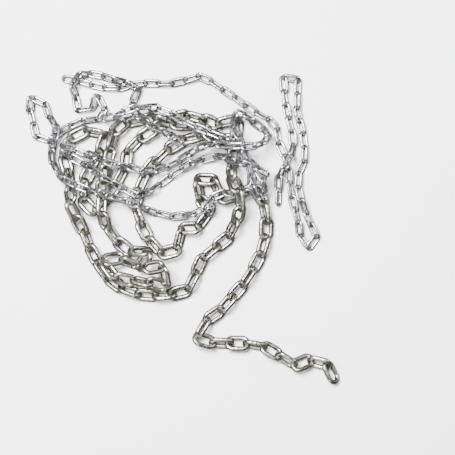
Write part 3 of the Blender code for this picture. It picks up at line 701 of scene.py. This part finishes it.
def drawn_steel_group():
    """Colour, roughness and height of drawn, tumbled and handled steel wire."""
    group = bpy.data.node_groups.new("drawn_steel", "ShaderNodeTree")
    for name, kind in (
        ("Clean", "NodeSocketColor"), ("Film", "NodeSocketColor"), ("Soil", "NodeSocketColor"),
        ("Grain", "NodeSocketFloat"), ("Sheen", "NodeSocketFloat"), ("Dull", "NodeSocketFloat"),
    ):
        group.interface.new_socket(name=name, in_out="INPUT", socket_type=kind)
    for name, kind in (
        ("Color", "NodeSocketColor"), ("Roughness", "NodeSocketFloat"), ("Height", "NodeSocketFloat"),
    ):
        group.interface.new_socket(name=name, in_out="OUTPUT", socket_type=kind)
    given = group.nodes.new("NodeGroupInput").outputs
    result = group.nodes.new("NodeGroupOutput").inputs
    place = group.nodes.new("ShaderNodeTexCoord").outputs["Object"]
    along = add_node(group, "ShaderNodeAttribute", attribute_name="along_wire").outputs["Vector"]
    rubbed = add_node(group, "ShaderNodeAttribute", attribute_name="rubbed").outputs["Fac"]
    tone = add_node(group, "ShaderNodeAttribute", attribute_name="tone").outputs["Fac"]

    film = ranged(group, noise(group, place, *FILM_NOISE), FILM_SPAN)
    film = calculated(group, "MULTIPLY", film, calculated(group, "SUBTRACT", 1.0, rubbed))
    specks = ranged(group, noise(group, place, *SPECK_NOISE), SPECK_SPAN)
    lines = noise(group, along, *LINE_NOISE)
    scratches = ranged(group, noise(group, place, *SCRATCH_NOISE), SCRATCH_SPAN)

    shown_film = calculated(group, "MULTIPLY", film, tone)
    colour = mixed_colour(group, shown_film, given["Clean"], given["Film"])
    soiled = calculated(group, "MULTIPLY", specks, SPECK_TINT)
    colour = mixed_colour(group, soiled, colour, given["Soil"])
    lined = ranged(group, lines, LINE_TINT_SPAN, (0.0, LINE_TINT))
    colour = mixed_colour(group, lined, colour, given["Soil"])
    group.links.new(colour, result["Color"])

    dulled = calculated(group, "MULTIPLY", film, given["Dull"])
    rough = calculated(group, "ADD", given["Sheen"], dulled)
    rough = calculated(group, "ADD", rough, ranged(group, lines, LINE_SHEEN_SPAN, LINE_ROUGHNESS))
    rough = calculated(group, "ADD", rough, calculated(group, "MULTIPLY", specks, SPECK_ROUGHNESS))
    rough = calculated(group, "MAXIMUM", rough, LEAST_ROUGHNESS)
    group.links.new(rough, result["Roughness"])

    height = calculated(group, "MULTIPLY", lines, given["Grain"])
    height = calculated(group, "ADD", height, calculated(group, "MULTIPLY", scratches, SCRATCH_HEIGHT))
    height = calculated(group, "ADD", height, calculated(group, "MULTIPLY", specks, SPECK_HEIGHT))
    group.links.new(height, result["Height"])
    return group


drawn_steel = drawn_steel_group()
BUMP_STRENGTH = 0.6
BUMP_DEPTH = 0.00006  # metres


def chain_steel(name, clean, film, soil, grain, sheen, dull):
    """A chain's wire: three colours, the depth of its grain, its roughness, and what film adds to that."""
    material = bpy.data.materials.new(name)
    material.use_nodes = True
    tree = material.node_tree
    shader = tree.nodes["Principled BSDF"]
    shader.inputs["Metallic"].default_value = 1.0
    surface = add_node(tree, "ShaderNodeGroup", node_tree=drawn_steel)
    for socket, value in (
        ("Clean", (*clean, 1.0)), ("Film", (*film, 1.0)), ("Soil", (*soil, 1.0)),
        ("Grain", grain), ("Sheen", sheen), ("Dull", dull),
    ):
        surface.inputs[socket].default_value = value
    bump = add_node(tree, "ShaderNodeBump", Strength=BUMP_STRENGTH, Distance=BUMP_DEPTH)
    tree.links.new(surface.outputs["Height"], bump.inputs["Height"])
    tree.links.new(surface.outputs["Color"], shader.inputs["Base Color"])
    tree.links.new(surface.outputs["Roughness"], shader.inputs["Roughness"])
    tree.links.new(bump.outputs["Normal"], shader.inputs["Normal"])
    return material


# Thick chain
# Welded chain of 8 mm wire, its loose end in front on the right. Each link is one bar bent to an oval
# and butt-welded in the middle of a side, which leaves a low bead.

SIDES = 16  # round the wire
CROWN_STEPS = 14
BAR_STEPS = (-1.0, -0.6, -0.22, -0.1, 0.0, 0.1, 0.22, 0.6)  # along a side bar, in half lengths of it
SEEN_THICKNESS = 1.10  # of the wire as it shows in the heap, against its stated diameter
BEAD_RISE = 0.06  # of the wire's radius
BEAD_LENGTH = 1.5  # millimetres
RUB_REACH = 50.0  # degrees from the crown's middle


def link_path(chain):
    """Points round a link's centre line, each with its way out, its nearness to the crown, and the bead."""
    straight = half_length(chain) - half_width(chain)
    turn = half_width(chain)
    points = []
    for end in (1.0, -1.0):
        for step in range(CROWN_STEPS):
            angle = math.pi * (step / CROWN_STEPS - 0.5)
            out = (math.cos(angle), math.sin(angle))
            near = max(1.0 - abs(math.degrees(angle)) / RUB_REACH, 0.0)
            x, y = straight + turn * out[0], turn * out[1]
            points.append((end * x, end * y, end * out[0], end * out[1], near, 0.0))
        for share in BAR_STEPS:
            bead = math.exp(-((share * straight / BEAD_LENGTH) ** 2)) if end > 0 else 0.0
            points.append((-end * share * straight, end * turn, 0.0, end, 0.0, bead))
    return np.array(points)


def round_link(chain):
    """Corners, faces and surface values of one link lying along X, in millimetres."""
    path = link_path(chain)
    steps = np.linalg.norm(np.roll(path[:, :2], -1, axis=0) - path[:, :2], axis=1)
    run = np.concatenate([[0.0], np.cumsum(steps)[:-1]])
    angles = 2 * math.pi * np.arange(SIDES) / SIDES
    points, values = [], []
    for (x, y, out_x, out_y, near, bead), s in zip(path, run):
        radius = chain.wire / 2 * (SEEN_THICKNESS + BEAD_RISE * bead)
        for angle in angles:
            out, up = radius * math.cos(angle), radius * math.sin(angle)
            points.append((x + out * out_x, y + out * out_y, up))
            rub = near * max(-math.cos(angle), 0.0)
            values.append((s, math.cos(angle), math.sin(angle), rub))
    count = len(path)
    faces = []
    for n in range(count):
        for k in range(SIDES):
            a, b = n * SIDES, (n + 1) % count * SIDES
            m = (k + 1) % SIDES
            faces.append((a + k, b + k, b + m, a + m))
    return np.array(points), faces, np.array(values)


LINE_STRETCH = (0.05, 2.2, 2.2)  # of the drawn lines: for each millimetre along the wire, and round it
LINE_SHIFT = 50.0  # how far the lines of one link may be shifted from those of another
FILM_SHOWN = (0.35, 1.0)  # from the cleanest link to the dullest
SEED = 8
random = np.random.default_rng(SEED)


def links_object(name, chain, frames, material):
    """One mesh with a round link in each frame of a row, none of it below the floor."""
    points, faces, values = round_link(chain)
    places, all_faces, along, rubbed, tone = [], [], [], [], []
    for number, (middle, *axes) in enumerate(frames):
        placed = middle + points @ np.array(axes)
        placed[:, 2] += max(-placed[:, 2].min(), 0.0)
        places.append(placed * MM)
        all_faces += [[n + number * len(points) for n in face] for face in faces]
        along.append(values[:, :3] * LINE_STRETCH + random.uniform(0.0, LINE_SHIFT, 3))
        rubbed.append(values[:, 3])
        tone.append(np.full(len(points), random.uniform(*FILM_SHOWN)))
    mesh = bpy.data.meshes.new(name)
    mesh.from_pydata(np.vstack(places).tolist(), [], all_faces)
    along_wire = mesh.attributes.new("along_wire", "FLOAT_VECTOR", "POINT")
    along_wire.data.foreach_set("vector", np.vstack(along).ravel())
    for attribute, numbers in (("rubbed", rubbed), ("tone", tone)):
        mesh.attributes.new(attribute, "FLOAT", "POINT").data.foreach_set("value", np.concatenate(numbers))
    mesh.shade_smooth()
    mesh.materials.append(material)
    item = bpy.data.objects.new(name, mesh)
    bpy.context.scene.collection.objects.link(item)
    return item


def dress(node, chain, frames, material):
    """Puts round links in the place of one solid row."""
    links = links_object(node + "_links", chain, frames, material)
    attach(links, "root")
    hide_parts(node)


thick_steel = chain_steel(
    "thick_wire", clean=(0.40, 0.39, 0.36), film=(0.20, 0.19, 0.16), soil=(0.035, 0.030, 0.020),
    grain=0.25, sheen=0.24, dull=0.14,
)
(_, _, (loose_end, *thick_rows)), *thin_lengths = heap
dress("end_link", THICK, loose_end, thick_steel)
for number, row in enumerate(thick_rows, 1):
    dress(f"thick_row_{number:02d}", THICK, row, thick_steel)

# Thin chain
# Three lengths of welded chain of 5 mm wire, its links longer for their wire than the thick chain's. The
# steel is brighter and a little bluer, and nothing is fastened to the loose ends.

thin_steel = chain_steel(
    "thin_wire", clean=(0.48, 0.48, 0.50), film=(0.27, 0.27, 0.285), soil=(0.05, 0.045, 0.045),
    grain=0.20, sheen=0.22, dull=0.12,
)
for length, _, rows in thin_lengths:
    for number, row in enumerate(rows, 1):
        dress(f"{length}_row_{number:02d}", THIN, row, thin_steel)

# Floor, light and camera
# The heap lies on a plain pale floor and is seen from straight above. The steel mirrors a bright box
# overhead.
# Where the steel mirrors the floor, a dark colour is painted in, a painted reflection that gives each wire
# its dark edges.

FLOOR_HALF = 6.0  # metres
FLOOR_ROUGHNESS = 0.9
FLOOR_SEEN = (0.97, 0.97, 0.97, 1.0)
# painted reflection: the dark colour that the floor takes only where the steel mirrors it
FLOOR_PAINTED_REFLECTION = (0.07, 0.07, 0.065, 1.0)
floor_mesh = bpy.data.meshes.new("floor")
floor_corners = [(x * FLOOR_HALF, y * FLOOR_HALF, 0.0) for x, y in ((-1, -1), (1, -1), (1, 1), (-1, 1))]
floor_mesh.from_pydata(floor_corners, [], [(0, 1, 2, 3)])
floor_material = bpy.data.materials.new("floor_paper")
floor_material.use_nodes = True
floor_shader = floor_material.node_tree.nodes["Principled BSDF"]
floor_shader.inputs["Roughness"].default_value = FLOOR_ROUGHNESS
# The floor shows its pale colour straight on and a painted dark reflection in the steel.
mirrored = add_node(floor_material.node_tree, "ShaderNodeLightPath").outputs["Is Glossy Ray"]
floor_and_painted_reflection = mixed_colour(floor_material.node_tree, mirrored, FLOOR_SEEN, FLOOR_PAINTED_REFLECTION)
floor_material.node_tree.links.new(floor_and_painted_reflection, floor_shader.inputs["Base Color"])
floor_mesh.materials.append(floor_material)
floor = bpy.data.objects.new("floor", floor_mesh)
bpy.context.scene.collection.objects.link(floor)


def soft_light(name, place, width, depth, watts):
    """A bright rectangle that faces the middle of the heap."""
    data = bpy.data.lights.new(name, "AREA")
    data.shape = "RECTANGLE"
    data.size, data.size_y, data.energy = width, depth, watts
    item = bpy.data.objects.new(name, data)
    bpy.context.scene.collection.objects.link(item)
    item.location = place
    item.rotation_euler = (-mathutils.Vector(place)).to_track_quat("-Z", "Y").to_euler()


soft_light("overhead_box", place=(-0.5, 0.6, 2.2), width=0.9, depth=0.9, watts=300.0)
soft_light("side_box", place=(2.0, 0.8, 1.2), width=0.5, depth=1.2, watts=36.0)
soft_light("near_box", place=(-0.6, -2.0, 1.4), width=1.2, depth=0.5, watts=30.0)

STUDIO_GLOW = 0.05
world = bpy.data.worlds.new("studio")
world.use_nodes = True
world.node_tree.nodes["Background"].inputs["Color"].default_value = (1.0, 1.0, 1.0, 1.0)
world.node_tree.nodes["Background"].inputs["Strength"].default_value = STUDIO_GLOW
bpy.context.scene.world = world

VIEW_CENTRE = (84.9, -0.6)  # millimetres, the middle of the picture
VIEW_WIDTH = 855.0
VIEW_HEIGHT = 2600.0
HEAP_MIDDLE = 25.0  # height at which the picture has its stated width
SENSOR_WIDTH = 36.0
camera_data = bpy.data.cameras.new("camera")
camera_data.sensor_width = SENSOR_WIDTH
camera_data.lens = SENSOR_WIDTH * (VIEW_HEIGHT - HEAP_MIDDLE) / VIEW_WIDTH
camera = bpy.data.objects.new("camera", camera_data)
camera.location = (VIEW_CENTRE[0] * MM, VIEW_CENTRE[1] * MM, VIEW_HEIGHT * MM)
bpy.context.scene.collection.objects.link(camera)
bpy.context.scene.camera = camera
